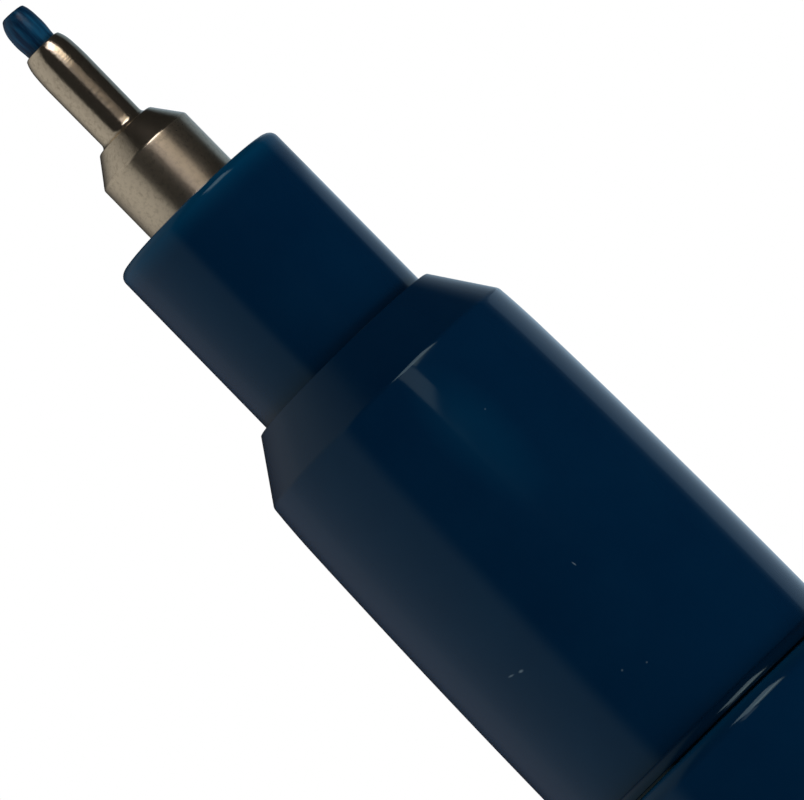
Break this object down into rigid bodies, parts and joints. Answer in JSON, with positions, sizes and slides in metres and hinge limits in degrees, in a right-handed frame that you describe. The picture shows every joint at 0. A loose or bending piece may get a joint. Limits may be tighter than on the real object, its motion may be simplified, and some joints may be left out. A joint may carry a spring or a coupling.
{
  "type": "paint marker",
  "caption": "Valve-action paint marker with a fine metal-sleeved tip that pushes in, crowned grip, round barrel with loose mixing balls inside, and a clip cap posted on its tail.",
  "frame": {"origin": "centre of the posted cap's closed end, the flat face that the marker stands on", "axes": "+Z along the marker's axis, from the posted cap up to the nib; the clip is on the -Y side"},
  "size_m": [0.0152, 0.018, 0.1676],
  "materials": {
    "navy_polypropylene": "moulded, glossy",
    "natural_polypropylene": "moulded, satin",
    "plated_brass": "turned and nickel plated",
    "acrylic_fibre_nib": "bonded fibre, wet with paint",
    "polyester_fibre_wick": "bonded fibre, soaked with paint",
    "nitrile_rubber": "moulded, matt",
    "spring_steel": "drawn wire",
    "ball_steel": "polished"
  },
  "bodies": {
    "marker_body": {"barrel": "navy_polypropylene", "grip_section": "navy_polypropylene", "nose": "navy_polypropylene", "section_seal": "nitrile_rubber", "valve_seat": "natural_polypropylene", "valve_case": "natural_polypropylene", "tail_plug": "navy_polypropylene"},
    "tip": {"nib": "acrylic_fibre_nib", "tip_sleeve": "plated_brass", "tip_holder": "natural_polypropylene", "feed_wick": "polyester_fibre_wick"},
    "plunger": {"valve_rod": "natural_polypropylene", "valve_seal": "nitrile_rubber", "valve_spring": "spring_steel"},
    "ball_1": {"mixing_ball_1": "ball_steel"},
    "ball_2": {"mixing_ball_2": "ball_steel"},
    "cap": {"cap_shell": "navy_polypropylene", "cap_liner": "natural_polypropylene"}
  },
  "joints": [
    {"name": "tip_press", "type": "slide", "parent": "marker_body", "child": "tip", "axis": [0, 0, -1], "range_m": [0, 0.002], "stiffness_N_per_m": 600, "springref_m": -0.002},
    {"name": "plunger_slide", "type": "slide", "parent": "marker_body", "child": "plunger", "axis": [0, 0, -1], "range_m": [0, 0.002], "deforming": ["valve_spring"]},
    {"name": "ball_1_run", "type": "slide", "parent": "marker_body", "child": "ball_1", "axis": [0, 0, 1], "range_m": [0, 0.0856]},
    {"name": "ball_2_run", "type": "slide", "parent": "marker_body", "child": "ball_2", "axis": [0, 0, 1], "range_m": [0, 0.0856]},
    {"name": "cap_pull", "type": "slide", "parent": "marker_body", "child": "cap", "axis": [0, 0, -1], "range_m": [0, 0.04]}
  ],
  "couplings": [
    {"joint": "plunger_slide", "follows": "tip_press", "ratio": 1}
  ]
}
